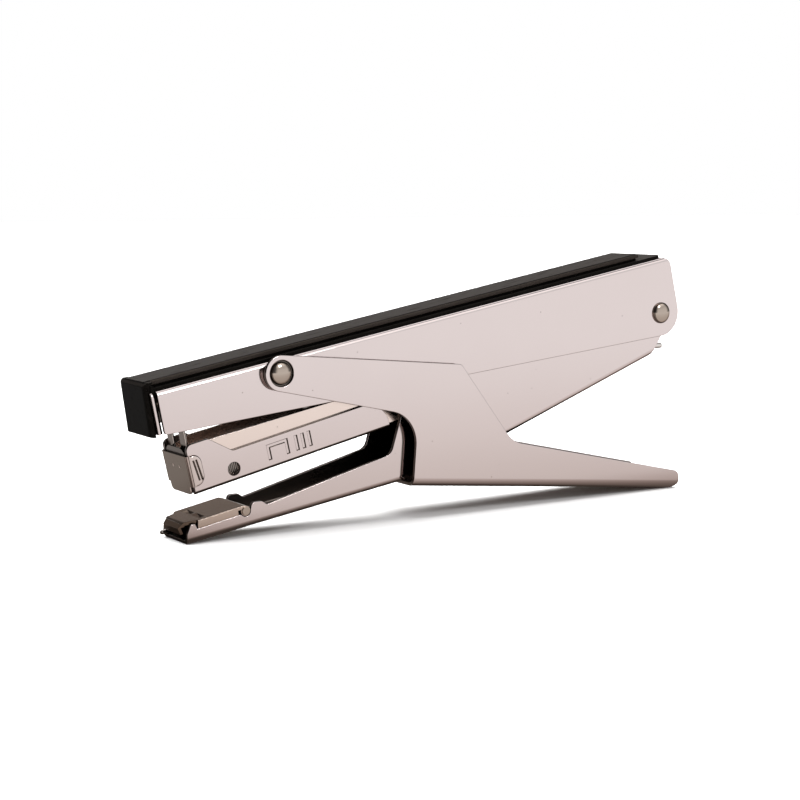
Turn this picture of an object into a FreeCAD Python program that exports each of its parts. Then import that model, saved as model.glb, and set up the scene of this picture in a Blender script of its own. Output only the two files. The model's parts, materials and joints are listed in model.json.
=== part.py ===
"""Plier stapler of pressed steel sheet: an upper arm, a magazine that swings inside it, an anvil arm
and a squeeze lever that nest in one another.

Row frame: X runs along the stapler, jaws towards -X and rear pivot towards +X; Y is across it; Z is up.
Z = 0 is the table, which the foot of the anvil arm and the tip of the lever's handle stand on.
The origin is the middle of the object's length and width, on the table.
The magazine group is drawn in a frame of its own: its origin is the rear pivot, its x axis runs along
the magazine's centre line towards the rear, and it is then tilted into place.
"""
import FreeCAD, Part
import math
import os
from FreeCAD import Vector

os.makedirs("parts", exist_ok=True)

# ------------------------------------------------------------------ driving sizes: mm and degrees
# Stance and pivots
pivot_height = 50.45            # rear pivot above the table
run = 145.3                     # staple slot to rear pivot, level distance
slot_height = 17.97             # magazine centre line at the staple slot, above the table
front_pivot_back = 22.0         # front pivot behind the staple slot, level distance
front_pivot_drop = 3.194        # and below the upper arm's top
nose_overhang = 13.2            # front of the nose ahead of the staple slot
hook_overhang = 8.1             # end of the finger hook behind the rear pivot
throat_depth = 60.5             # front edge of the lever behind the staple slot

# Staples
crown_width = 10.3              # staple, outside
staple_height = 6.5             # staple, outside
wire = 0.5                      # staple wire
strip_length = 40.0             # staples left in the magazine

# Sheet thicknesses
channel_sheet = 0.5
housing_sheet = 0.9
head_sheet = 0.6
anvil_sheet = 1.0
arm_sheet = 1.0
lever_sheet = 1.0

# Gaps across the width, each side
staple_gap = 0.15               # staple to channel wall
channel_gap = 0.10              # channel to anvil arm
head_gap = 0.25                 # magazine head to upper arm
lever_gap = 0.85                # upper arm to lever
seat_gap = 0.10                 # under rivet heads, beside washers and bosses

# Rivets
rivet_r = 2.0
running = 0.06                  # radial play of a turning rivet
rear_head_r = 3.0
rear_head_height = 1.4
front_head_r = 2.9
front_head_height = 1.5
dimple_r = 3.3                  # recess in the lever around the front rivet
dimple_depth = 0.8
boss_r = 4.1                    # back of that dimple

# Magazine, heights from its centre line
housing_drop = 5.9              # centre line down to the bottom of the housing
housing_rise = 1.75             # centre line up to the top edge of the housing
head_rise = 6.5                 # the same at the housing's tall head
head_length = 5.2               # tall head, along the magazine
head_slope = 5.7                # length over which the head slopes down
housing_length = 55.7           # staple slot to the rear end of the housing
channel_rise_front = 6.0        # channel wall's top at the head
channel_rise_rear = 2.6         # the same at the rear pivot
ear_r = 4.4                     # channel's round ends at the rear pivot
inspection_r = 1.65             # inspection hole in the housing
inspection_at = 10.2            # its place behind the staple slot
inspection_height = -2.75       # and from the centre line
leg_gap = 0.1                   # staple legs above the channel's web
core_sheet = 0.6
core_gap = 0.1                  # staple to core, each side
slot_half = 0.65                # half the driver's slot, along the magazine
driver_sheet = 0.5
driver_gap = 0.25               # driver tip above the staple crown at rest
liner_sheet = 0.45
head_drop = 3.85                # head plate below the centre line, at its sides
head_up = 3.95                  # head plate above the centre line
tab_length = 3.8                # head plate's side tabs, from its front face
rod_r = 1.0
spring_gap = 0.55               # follower spring to core
spring_wire = 0.6
rod_from = 14.9                 # front end of the guide rod behind the staple slot
hook_r = 0.8                    # finger hook's wire
notch_gap = 0.7                 # hook's notch in the channel, each side
follower_length = 12.0
plug_length = 10.9
press_angle = 3.1               # the magazine's swing into the upper arm

# Upper arm: heights above the table at the staple slot, and from the rear pivot
arm_top_front = 39.75
arm_rise_rear = 15.35            # arm's top above the rear pivot
arm_bottom_front = 28.35
arm_end_r = 6.6                 # arm's round corner under the rear pivot
arm_tail = 2.9                  # arm's top rear corner behind the rear pivot
arm_bend = 1.3
nose_lean = 10.9                # arm's front edge from upright, degrees

# Top cover and nose
cover_base = 0.8                # thickness of the cover's base
cover_rise = 2.5                # top of the ridge above the arm
ridge_half = 5.6                # half the ridge's width
neck_height = 0.5               # shadow gap under the ridge
neck_inset = 0.7
nose_depth = 1.1                # black nose in front of the nose plate
nose_sheet = 0.6
nose_gap = 1.0                  # shadow gap between nose plate and arm
nose_half = 7.4
nose_corner_r = 1.6
nose_rounding = 0.04            # the rounded top edge stays this far behind its corner
ridge_end_back = 5.6            # ridge ends this far ahead of the rear pivot

# Lever
lever_nose_r = 4.46
shoulder_back = 15.0            # shoulder behind the lever's front edge
shoulder_height = 39.8
knee_back = 31.8                # start of the handle behind the lever's front edge
knee_height = 18.05
handle_tail = 6.4               # handle's end behind the rear pivot
handle_end_height = 4.8
handle_tip_r = 2.4
lever_bend = 2.5
lip_gap = 0.12                  # lever's web under the anvil arm, at rest

# Anvil arm
foot_ahead = 2.4                # foot's front edge ahead of the staple slot
foot_r = 0.6
bend_behind_lip = 12.6          # change of slope behind the lever's front edge
bend_height = 11.92
heel_ahead = 1.8                # rear end of the web ahead of the rear pivot
heel_drop = 12.35               # and below the rear pivot
anvil_end_r = 5.1               # round end at the rear pivot
anvil_bend = 1.8
plate_seat_front = 3.2          # wall's height under the anvil plate, front
plate_seat_rear = 5.94          # the same at its rear
plate_length = 14.1             # seat of the anvil plate, along X
plate_thick = 2.0               # anvil plate over its flanges
plate_sheet = 0.9
barrel_r = 1.3                  # rolled rear edge of the anvil plate
anvil_pin_r = 0.7

# ------------------------------------------------------------------ places worked out from them
half_length = (nose_overhang + run + hook_overhang) / 2
rear = (half_length - hook_overhang, pivot_height)
slot_x = rear[0] - run
reach = math.hypot(run, pivot_height - slot_height)
tilt = math.degrees(math.atan2(pivot_height - slot_height, run))

staple_half = crown_width / 2
channel_in = staple_half + staple_gap
channel_out = channel_in + channel_sheet
housing_out = channel_out + housing_sheet
head_out = housing_out + head_sheet
anvil_in = channel_out + channel_gap
anvil_out = anvil_in + anvil_sheet
arm_in = head_out + head_gap
arm_out = arm_in + arm_sheet
lever_in = arm_out + lever_gap
lever_out = lever_in + lever_sheet

web_top = -housing_drop + housing_sheet
floor = web_top + channel_sheet              # channel's inner floor
legs_bottom = floor + leg_gap
crown_top = legs_bottom + staple_height
core_top = crown_top - wire
core_out = staple_half - wire - core_gap
rod_height = (floor + core_top - core_sheet) / 2     # guide rod's axis, from the centre line
spring_r = (core_top - core_sheet - floor) / 2 - spring_gap
plug_front = 1.4 - plug_length               # in the magazine's frame
plug_rear = plug_front + plug_length
plug_half = channel_in - 0.15

lip_x = slot_x + throat_depth
bend = (lip_x + bend_behind_lip, bend_height)
heel = (rear[0] - heel_ahead, rear[1] - heel_drop)
FAR = 400.0


# ------------------------------------------------------------------ drawing helpers
def rounded(points):
    """Closed wire in the XZ plane through points (x, z) or (x, z, corner radius)."""
    n = len(points)
    corners = []
    for i in range(n):
        x, z = points[i][0], points[i][1]
        r = points[i][2] if len(points[i]) > 2 else 0.0
        p = Vector(x, 0, z)
        if r == 0.0:
            corners.append((p, p, None))
            continue
        before = points[i - 1]
        after = points[(i + 1) % n]
        u = (Vector(before[0], 0, before[1]) - p).normalize()
        v = (Vector(after[0], 0, after[1]) - p).normalize()
        half = u.getAngle(v) / 2
        cut = r / math.tan(half)
        centre = p + (u + v).normalize() * (r / math.sin(half))
        middle = centre + (p - centre).normalize() * r
        corners.append((p + u * cut, p + v * cut, middle))
    edges = []
    for i in range(n):
        start, end, middle = corners[i]
        if middle is not None:
            edges.append(Part.Arc(start, middle, end).toShape())
        following = corners[(i + 1) % n][0]
        if (following - end).Length > 1e-6:
            edges.append(Part.LineSegment(end, following).toShape())
    return Part.Wire(edges)


def prism(points, y0, y1):
    """Rounded outline in XZ, pushed from y0 to y1."""
    face = Part.Face(rounded(points))
    face.translate(Vector(0, y0, 0))
    return face.extrude(Vector(0, y1 - y0, 0))


def both(shape):
    """The shape and its mirror image across the middle plane."""
    return Part.makeCompound([shape, shape.mirror(Vector(0, 0, 0), Vector(0, 1, 0))])


def cyl(x, z, y0, y1, r):
    """Cylinder along Y."""
    return Part.makeCylinder(r, y1 - y0, Vector(x, y0, z), Vector(0, 1, 0))


def box(x0, x1, y0, y1, z0, z1):
    return Part.makeBox(x1 - x0, y1 - y0, z1 - z0, Vector(x0, y0, z0))


def along(shape, origin, angle):
    """Turn a shape drawn along +X so that it rises at angle, and move it to origin."""
    placed = shape.copy()
    placed.rotate(Vector(0, 0, 0), Vector(0, 1, 0), -angle)
    placed.translate(Vector(origin[0], 0, origin[1]))
    return placed


def trough(a, b, half_width, radius):
    """Endless bar on the left of the line a-b, its two edges along that line rounded."""
    bar = box(-FAR, FAR, -half_width, half_width, 0, FAR)
    edges = [e for e in bar.Edges if abs(e.BoundBox.ZMax) < 1e-6 and e.BoundBox.XLength > FAR]
    bar = bar.makeFillet(radius, edges)
    return along(bar, a, math.degrees(math.atan2(b[1] - a[1], b[0] - a[0])))


def offset_line(a, b, distance):
    """Line a-b moved to its left."""
    length = math.hypot(b[0] - a[0], b[1] - a[1])
    nx, nz = -(b[1] - a[1]) / length, (b[0] - a[0]) / length
    return ((a[0] + nx * distance, a[1] + nz * distance), (b[0] + nx * distance, b[1] + nz * distance))


def on_line(a, b, x):
    """Height of the line a-b at x."""
    return a[1] + (b[1] - a[1]) * (x - a[0]) / (b[0] - a[0])


def crossing(a, b, c, d):
    """Where the lines a-b and c-d meet."""
    ux, uz = b[0] - a[0], b[1] - a[1]
    vx, vz = d[0] - c[0], d[1] - c[1]
    t = ((c[0] - a[0]) * vz - (c[1] - a[1]) * vx) / (ux * vz - uz * vx)
    return (a[0] + ux * t, a[1] + uz * t)


def tangent(p, centre, r, side):
    """A second point on the line from p that touches the circle; side 1 keeps the circle on its left."""
    dx, dz = centre[0] - p[0], centre[1] - p[1]
    angle = math.atan2(dz, dx) - side * math.asin(r / math.hypot(dx, dz))
    return (p[0] + math.cos(angle), p[1] + math.sin(angle))


def in_magazine(shape):
    """From the magazine's own frame into the row frame."""
    return along(shape, rear, tilt)


def dome(base_r, height, y):
    """Spherical rivet head on the Y axis, its flat at y, bulging towards +Y."""
    ball_r = (base_r ** 2 + height ** 2) / (2 * height)
    ball = Part.makeSphere(ball_r, Vector(0, y + height - ball_r, 0))
    return ball.common(box(-FAR, FAR, y, y + FAR, -FAR, FAR))


def solids(shape):
    """The separate solids of a shape as one compound, or the solid itself when there is one."""
    found = shape.removeSplitter().Solids
    return found[0] if len(found) == 1 else Part.makeCompound(found)


# ------------------------------------------------------------------ lines that several pieces share
arm_top = ((slot_x, arm_top_front), (rear[0], rear[1] + arm_rise_rear))
arm_ceiling = offset_line(arm_top[1], arm_top[0], arm_sheet)
front_x = slot_x + front_pivot_back
front = (front_x, on_line(*arm_top, front_x) - front_pivot_drop)
foot_centre = (slot_x - foot_ahead + foot_r, foot_r)
anvil_under = (bend, tangent(bend, foot_centre, foot_r, -1))
lip = (lip_x, on_line(*anvil_under, lip_x) - lever_sheet - lip_gap)
tip_centre = (rear[0] + handle_tail - handle_tip_r, handle_tip_r)
lever_bottom = (lip, tangent(lip, tip_centre, handle_tip_r, 1))
plate_seat = ((slot_x - foot_ahead + 0.2, plate_seat_front), (slot_x - foot_ahead + plate_length, plate_seat_rear))
barrel = (plate_seat[1][0] + 1.8, plate_seat_rear + 0.86)


# ------------------------------------------------------------------ upper arm and what is fixed to it
def arm_front(height_line):
    """The arm's leaning front edge, where it meets a line."""
    top_x = slot_x - nose_overhang + nose_depth + nose_sheet + nose_gap
    lean = math.tan(math.radians(nose_lean))
    top = (top_x, on_line(*arm_top, top_x))
    return crossing(top, (top[0] + lean, top[1] - 1), *height_line)


def arm_bottom_line():
    start = (slot_x, arm_bottom_front)
    return (start, tangent(start, rear, arm_end_r, 1))


def upper_arm():
    bottom = arm_bottom_line()
    tail_x = rear[0] + arm_tail
    tail = (tail_x, on_line(*arm_top, tail_x))
    corner = crossing(tail, tangent(tail, rear, arm_end_r, -1), *bottom)
    outline = [arm_front(bottom) + (0.8,), corner + (arm_end_r,), tail + (2.7,), arm_front(arm_top)]
    body = prism(outline, -arm_out, arm_out)
    body = body.common(trough(arm_top[1], arm_top[0], arm_out, arm_bend))
    body = body.cut(trough(*arm_ceiling, arm_in, arm_bend - arm_sheet))
    body = body.cut(cyl(rear[0], rear[1], -arm_out, arm_out, rivet_r + running))
    body = body.cut(cyl(front[0], front[1], -arm_out, arm_out, rivet_r))
    return body.cut(leaf_rivet_shank())


def arm_frame(shape):
    """Drawn along the arm's top line with its origin over the staple slot."""
    angle = math.degrees(math.atan2(arm_top[1][1] - arm_top[0][1], run))
    return along(shape, arm_top[0], angle)


def nose_outline(x0, x1, bottom_drop):
    """Slab of the nose between two distances ahead of the arm's front edge, leaning with it."""
    lean = math.tan(math.radians(nose_lean))
    top = arm_front(arm_top)
    foot = arm_front(arm_bottom_line())
    rise = 1.2
    return [(foot[0] - x0 + lean * bottom_drop, foot[1] - bottom_drop),
            (top[0] - x0 - lean * rise, top[1] + rise),
            (top[0] - x1 - lean * rise, top[1] + rise),
            (foot[0] - x1 + lean * bottom_drop, foot[1] - bottom_drop)]


def top_cover():
    """Moulded grip: a base on the arm's web, a ridge on a narrower neck, and the nose."""
    scale = math.hypot(run, arm_top[1][1] - arm_top[0][1]) / run
    front_u = -(nose_overhang - nose_depth) * scale
    base_end = (run + 0.8) * scale
    ridge_end = (run - ridge_end_back) * scale
    flat_half = arm_out - arm_bend
    base = box(front_u, base_end, -flat_half, flat_half, 0, cover_base)
    ends = [e for e in base.Edges if e.BoundBox.ZLength > cover_base / 2 and e.BoundBox.XMin > 0]
    base = base.makeFillet(1.5, ends)
    neck = box(front_u, ridge_end - neck_inset, -ridge_half + neck_inset, ridge_half - neck_inset,
               cover_base / 2, cover_base + neck_height + 0.2)
    ridge = prism([(front_u, cover_base + neck_height), (ridge_end, cover_base + neck_height, 0.3),
                   (ridge_end - 0.5, cover_rise, 0.9), (front_u, cover_rise)], -ridge_half, ridge_half)
    ridge = ridge.common(trough((1, cover_rise), (0, cover_rise), ridge_half, 0.5))
    cover = arm_frame(base.fuse([neck, ridge]))
    ahead = nose_overhang - nose_depth
    front_top = slot_x - nose_overhang - nose_rounding
    top_z = on_line(*arm_top, front_top) + cover_rise * scale
    foot = arm_front(arm_bottom_line())
    back_x = slot_x - ahead
    face = [(foot[0] - nose_gap - nose_sheet, foot[1] - 0.7),
            (foot[0] - nose_gap - nose_sheet - 1.4, foot[1] - 0.7, 0.4),
            (front_top, top_z - 0.9, 0.6), (front_top + 1.0, top_z, 0.5), (back_x + 1.2, top_z + 0.2),
            (back_x, on_line(*arm_top, back_x))]
    nose = prism(face, -nose_half, nose_half)
    lean = math.degrees(math.atan2(face[1][0] - face[2][0], face[2][1] - face[1][1]))
    bar = box(0, 20, -nose_half, nose_half, -FAR, FAR)
    uprights = [e for e in bar.Edges if e.BoundBox.ZLength > FAR and e.BoundBox.XMax < 0.01]
    bar = along(bar.makeFillet(nose_corner_r, uprights), face[2], lean)
    nose = nose.common(bar)
    plug = prism(nose_outline(0.05, nose_gap, -0.1), -arm_in + 0.1, arm_in - 0.1)
    return solids(cover.fuse([nose, plug]))


def nose_plate():
    """Bright steel plate held between the nose and the arm."""
    slab = prism(nose_outline(nose_gap, nose_gap + nose_sheet, 0.0), -arm_out, arm_out)
    slab = slab.common(trough(arm_top[1], arm_top[0], arm_out, arm_bend))
    return solids(slab.cut(top_cover()))


def front_rivet():
    seat = lever_out - dimple_depth + seat_gap
    head = dome(front_head_r, front_head_height, seat)
    shank = cyl(0, 0, -seat, seat, rivet_r)
    rivet = shank.fuse([head, head.mirror(Vector(0, 0, 0), Vector(0, 1, 0))])
    return solids(along(rivet, front, 0))


def rear_washers():
    """Spacers between the arm and the anvil arm at the rear pivot."""
    ring = cyl(*rear, anvil_out + seat_gap, arm_in, 3.4)
    return both(ring.cut(cyl(*rear, 0, arm_in, rivet_r + running)))


def in_driver(shape):
    """From the driver's frame, origin at its tip; it leans half the press angle so that it stays in the
    slot over its whole stroke."""
    leant = shape.copy()
    leant.rotate(Vector(0, 0, 0), Vector(0, 1, 0), press_angle / 2)
    leant.translate(Vector(-reach + 0.05, 0, crown_top + driver_gap))
    return in_magazine(leant)


driver_half = staple_half - 0.05
clamp_foot = 11.8               # lower edge of the driver's clamp above the driver's tip
window_half = 1.9               # the driver's window
ceiling_room = 30.0             # taller than the arm: trimmed to its ceiling
clamp_sheet = 1.7
driver_rivet_r = 0.9
driver_rivet_y = 3.6


def driver_rivets():
    rivets = []
    for y in (-driver_rivet_y, driver_rivet_y):
        half = driver_sheet / 2 + clamp_sheet
        centre = Vector(-half, y, clamp_foot + 2.6)
        shank = Part.makeCylinder(driver_rivet_r, 2 * half, centre, Vector(1, 0, 0))
        heads = [Part.makeCylinder(1.4, 0.5, Vector(x, y, clamp_foot + 2.6), Vector(1, 0, 0))
                 for x in (-half - 0.5, half)]
        rivets.append(shank.fuse(heads).removeSplitter())
    return in_driver(Part.makeCompound(rivets))


def driver_holes():
    half = driver_sheet / 2 + clamp_sheet
    return in_driver(Part.makeCompound([
        Part.makeCylinder(driver_rivet_r, 2 * half + 2, Vector(-half - 1, y, clamp_foot + 2.6), Vector(1, 0, 0))
        for y in (-driver_rivet_y, driver_rivet_y)]))


def driver_blade():
    """Blade that drives one staple, forked above its tip."""
    half = driver_sheet / 2
    blade = box(-half, half, -driver_half, driver_half, 0, clamp_foot + 5.0)
    window = box(-1, 1, -window_half, window_half, 2.6, clamp_foot - 2.2)
    corners = [e for e in window.Edges if e.BoundBox.XLength > 1.9]
    blade = blade.cut(window.makeFillet(0.6, corners))
    return in_driver(blade).cut(driver_holes())


def driver_clamp():
    """Two blocks welded under the arm's web, with the blade riveted between them."""
    halves = []
    for x0 in (-driver_sheet / 2 - clamp_sheet, driver_sheet / 2):
        block = box(x0, x0 + clamp_sheet, -driver_half - 0.05, driver_half + 0.05, clamp_foot, ceiling_room)
        placed = in_driver(block).common(trough(*arm_ceiling, arm_in, 0.2))
        halves.append(placed.cut(driver_holes()))
    return Part.makeCompound(halves)


# The leaf spring under the arm's web pushes the magazine down.
leaf_half = channel_out - 0.15
leaf_sheet = 0.7
leaf_back = 60.0                # its riveted end behind the staple slot
leaf_seat = 9.0                 # length that lies on the web
leaf_tip_back = 33.5            # its bearing point behind the staple slot


def magazine_point(s, height):
    """Row-frame place of a point s behind the staple slot along the magazine, height off its centre line."""
    angle = math.radians(tilt)
    x = s - reach
    return (rear[0] + x * math.cos(angle) - height * math.sin(angle),
            rear[1] + x * math.sin(angle) + height * math.cos(angle))


def channel_top(s):
    """Height of the channel's top edge off the magazine's centre line."""
    share = (s - head_length) / (reach - head_length)
    return channel_rise_front + (channel_rise_rear - channel_rise_front) * share


def magazine_spring():
    seat_x = slot_x + leaf_back
    seat_top = on_line(*arm_ceiling, seat_x)
    ahead_x = seat_x - leaf_seat
    ahead_top = on_line(*arm_ceiling, ahead_x)
    tip = magazine_point(leaf_tip_back, channel_top(leaf_tip_back))
    toe = (tip[0] - 2.6, tip[1] + 0.9)
    outline = [(seat_x, seat_top), (ahead_x, ahead_top, 2.0), (tip[0] - 0.4, tip[1] + leaf_sheet + 0.25, 2.0),
               (toe[0], toe[1] + leaf_sheet), toe, (tip[0], tip[1] + 0.02, 2.7),
               (ahead_x + 0.35, on_line(*arm_ceiling, ahead_x + 0.35) - leaf_sheet, 2.7), (seat_x, seat_top - leaf_sheet)]
    leaf = prism(outline, -leaf_half, leaf_half)
    return leaf.cut(leaf_rivet_shank())


def leaf_rivet_place():
    x = slot_x + leaf_back - leaf_seat / 2
    angle = math.degrees(math.atan2(arm_top[1][1] - arm_top[0][1], run))
    return (x, on_line(*arm_top, x)), angle


def leaf_rivet_shank():
    place, angle = leaf_rivet_place()
    shank = Part.makeCylinder(1.5, FAR, Vector(0, 0, -FAR / 2), Vector(0, 0, 1))
    return along(shank.common(box(-5, 5, -5, 5, -5, 5)), place, angle)


def magazine_spring_rivet():
    place, angle = leaf_rivet_place()
    under = arm_sheet + leaf_sheet
    shank = Part.makeCylinder(1.5, under, Vector(0, 0, -under), Vector(0, 0, 1))
    head = Part.makeCylinder(2.6, 0.8, Vector(0, 0, -under - 0.8), Vector(0, 0, 1))
    return along(shank.fuse(head).removeSplitter(), place, angle)


# ------------------------------------------------------------------ squeeze lever
def lever():
    """Deep U of sheet: cheeks outside the upper arm at the front, the handle's channel at the rear."""
    end_x = rear[0] + handle_tail
    low_end = crossing(*lever_bottom, (end_x, 0), (end_x, 1))
    shoulder = (lip_x + shoulder_back, shoulder_height)
    throat = (lip_x + 1.4, 27.1)
    nose = crossing(shoulder, tangent(shoulder, front, lever_nose_r, 1),
                    throat, tangent(throat, front, lever_nose_r, -1))
    outline = [lip, low_end + (handle_tip_r,), (end_x, handle_end_height, 2.1),
               (lip_x + knee_back, knee_height, 8.0), shoulder + (1.5,), nose + (lever_nose_r,),
               throat + (9.0,)]
    body = prism(outline, -lever_out, lever_out)
    body = body.common(trough(*lever_bottom, lever_out, lever_bend))
    inner = offset_line(*lever_bottom, lever_sheet)
    body = body.cut(trough(*inner, lever_in, lever_bend - lever_sheet))
    boss = both(cyl(*front, arm_out + seat_gap, lever_in + lever_sheet / 2, boss_r))
    body = body.fuse(boss)
    floor_y = lever_out - dimple_depth
    body = body.cut(both(cyl(*front, floor_y, lever_out + 1, dimple_r)))
    return solids(body.cut(cyl(*front, -FAR, FAR, rivet_r + running)))


# ------------------------------------------------------------------ anvil arm
def above_magazine(back, height):
    """Point a level distance behind the staple slot, straight up or down from the magazine's centre line."""
    x = slot_x + back
    return (x, on_line((slot_x, slot_height), rear, x) + height)


def anvil_arm():
    """Bent U of sheet under the magazine, from the anvil's foot to the rear pivot."""
    foot_x = slot_x - foot_ahead
    foot_low = crossing(bend, anvil_under[1], (foot_x, 0), (foot_x, 1))
    step = barrel[0] + barrel_r + 0.4
    wall_rear = above_magazine(55.9, -13.17)
    ear_front = above_magazine(72.5, 4.42)
    ear_top = tangent(ear_front, rear, anvil_end_r, -1)
    ear_back = tangent(heel, rear, anvil_end_r, 1)
    end_out = rear[0] + anvil_end_r
    outline = [foot_low + (foot_r,), bend, heel + (0.8,),
               crossing(heel, ear_back, (end_out, 0), (end_out, 1)) + (anvil_end_r,),
               crossing(ear_front, ear_top, (end_out, 0), (end_out, 1)) + (anvil_end_r,),
               ear_front + (5.0,), above_magazine(60.4, 1.53) + (4.0,), above_magazine(58.7, -4.89) + (3.0,),
               wall_rear + (3.0,), (step + 4.2, barrel[1] + 1.05, 0.8), (step + 2.9, barrel[1] + 2.0, 1.0),
               (step, barrel[1] + 1.95, 1.0), (step - 0.4, plate_seat_rear + 0.3), plate_seat[1],
               seat_point(2.6, 0), seat_point(2.25, 1.4) + (0.3,), seat_point(1.1, 1.5) + (0.5,),
               seat_point(-0.2, -0.5) + (0.6,)]
    body = prism(outline, -anvil_out, anvil_out)
    back = (bend, heel)
    fore = (anvil_under[1], bend)
    body = body.common(trough(*fore, anvil_out, anvil_bend)).common(trough(*back, anvil_out, anvil_bend))
    cavity = trough(*offset_line(*fore, anvil_sheet), anvil_in, anvil_bend - anvil_sheet)
    cavity = cavity.common(trough(*offset_line(*back, anvil_sheet), anvil_in, anvil_bend - anvil_sheet))
    body = body.cut(cavity)
    body = body.cut(cyl(*rear, -anvil_out, anvil_out, rivet_r + running))
    body = body.cut(cyl(*barrel, -anvil_out, anvil_out, barrel_r + 0.12))
    return solids(body.cut(jaw_rivet_shank()))


def seat_point(back, height):
    """Point a distance back from the seat's front end and a height off the anvil plate's seat."""
    (x0, z0), (x1, z1) = plate_seat
    length = math.hypot(x1 - x0, z1 - z0)
    ux, uz = (x1 - x0) / length, (z1 - z0) / length
    return (x0 + ux * back - uz * height, z0 + uz * back + ux * height)


groove_back = 5.2               # staple-forming grooves behind the front of the seat
groove_half = 0.85
groove_depth = 0.45


def anvil_plate():
    """Forming plate: flat top, side flanges on the walls, nose folded down, rear edge rolled."""
    long = math.hypot(barrel[0] - plate_seat[0][0], barrel[1] - plate_seat[0][1]) - 0.2
    under = plate_thick - plate_sheet
    side = prism([seat_point(-0.2, 0), seat_point(plate_length, 0), seat_point(plate_length, plate_thick),
                  seat_point(-0.2, plate_thick) + (0.7,)], anvil_in, anvil_out)
    top = prism([seat_point(-0.2, under), seat_point(long, under), seat_point(long, plate_thick),
                 seat_point(-0.2, plate_thick) + (0.7,)], -anvil_out, anvil_out)
    fold = prism([seat_point(-0.2, plate_thick - 0.35), seat_point(-1.3, 0.9), seat_point(-1.0, -0.9) + (0.2,),
                  seat_point(-0.25, -0.8), seat_point(-0.5, 0.7), seat_point(0.5, 0.9)],
                 -anvil_out + 0.3, anvil_out - 0.3)
    roll = cyl(*barrel, -anvil_out, anvil_out, barrel_r)
    plate = top.fuse([both(side), fold, roll]).removeSplitter()
    plate = plate.cut(both(nose_taper()))
    plate = plate.cut(cyl(*barrel, -anvil_out, anvil_out, anvil_pin_r))
    for side_sign in (-1, 1):
        plate = plate.cut(forming_groove(side_sign))
    return solids(plate)


def nose_taper():
    """Cuts the plate's front corner back to the upstand of the anvil arm's wall."""
    x = slot_x - foot_ahead
    half = anvil_in - 0.1
    corners = [(x - 3.0, half - 2.6), (x + 2.7, half), (x + 2.95, half), (x + 2.95, half + 3), (x - 3.0, half + 3)]
    wire = Part.makePolygon([Vector(a, b, 0) for a, b in corners + corners[:1]])
    return Part.Face(wire).extrude(Vector(0, 0, 12))


def forming_groove(sign):
    """Shallow trench that turns one staple leg inwards."""
    place = seat_point(groove_back, plate_thick)
    ball_r = 7.0
    trench = Part.makeCylinder(ball_r, 2 * groove_half, Vector(-groove_half, 0, ball_r - groove_depth),
                               Vector(1, 0, 0))
    angle = math.degrees(math.atan2(plate_seat[1][1] - plate_seat[0][1], plate_seat[1][0] - plate_seat[0][0]))
    trench = along(trench, place, angle)
    trench.translate(Vector(0, sign * (staple_half - wire - 1.9), 0))
    return trench


def anvil_pin():
    """Pin through the rolled edge of the anvil plate, with a small head outside each wall."""
    shank = cyl(*barrel, -anvil_out, anvil_out, anvil_pin_r)
    head = cyl(*barrel, anvil_out, anvil_out + 0.35, 1.05)
    return solids(shank.fuse([head, head.mirror(Vector(0, 0, 0), Vector(0, 1, 0))]))


lock_wire_r = 0.6


def anvil_lock_spring():
    """Spring wire along the foot; its rounded end shows under the folded nose of the anvil plate."""
    y = anvil_in - lock_wire_r - 0.3
    start = (slot_x - foot_ahead - 0.8, 0)
    length = 17.0
    slope = math.degrees(math.atan2(bend[1] - anvil_under[1][1], bend[0] - anvil_under[1][0]))
    rise = anvil_sheet + lock_wire_r + 0.02
    wire_run = Part.makeCylinder(lock_wire_r, length, Vector(0, y, rise), Vector(1, 0, 0))
    knob = Part.makeSphere(lock_wire_r, Vector(0, y, rise))
    turn = Part.makeCylinder(lock_wire_r, 2 * y, Vector(length, -y, rise), Vector(0, 1, 0))
    elbow = Part.makeSphere(lock_wire_r, Vector(length, y, rise))
    end = Part.makeSphere(lock_wire_r, Vector(length, -y, rise))
    shape = wire_run.fuse([knob, turn, elbow, end]).removeSplitter()
    base_z = on_line(*anvil_under, start[0])
    return along(shape, (start[0], base_z), slope)


# The jaw spring lies on the rear web of the anvil arm and pushes the magazine up, to open the jaw.
jaw_leaf_half = 4.5
jaw_seat_back = 22.0            # riveted end ahead of the rear pivot
jaw_seat = 9.0
jaw_tip_back = 62.0             # bearing point ahead of the rear pivot


def jaw_floor():
    return offset_line(bend, heel, anvil_sheet)


def jaw_spring():
    line = jaw_floor()
    x0 = rear[0] - jaw_seat_back
    x1 = x0 - jaw_seat
    tip = magazine_point(reach - jaw_tip_back, -housing_drop + housing_sheet)
    outline = [(x0, on_line(*line, x0)), (x0, on_line(*line, x0) + leaf_sheet),
               (x1, on_line(*line, x1) + leaf_sheet, 3.0), (tip[0], tip[1] - 0.02, 3.0),
               (tip[0] - 3, tip[1] - 1.5), (tip[0] - 3, tip[1] - 1.5 - leaf_sheet),
               (tip[0] + 0.2, tip[1] - leaf_sheet - 0.12, 2.3), (x1, on_line(*line, x1), 2.3)]
    leaf = prism(outline, -jaw_leaf_half, jaw_leaf_half)
    return leaf.cut(jaw_rivet_shank())


def jaw_rivet_place():
    x = rear[0] - jaw_seat_back - jaw_seat / 2 + 0.6
    slope = math.degrees(math.atan2(heel[1] - bend[1], heel[0] - bend[0]))
    return (x, on_line(bend, heel, x)), slope


def jaw_rivet_shank():
    place, slope = jaw_rivet_place()
    return along(Part.makeCylinder(1.5, 6, Vector(0, 0, -2), Vector(0, 0, 1)), place, slope)


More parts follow.
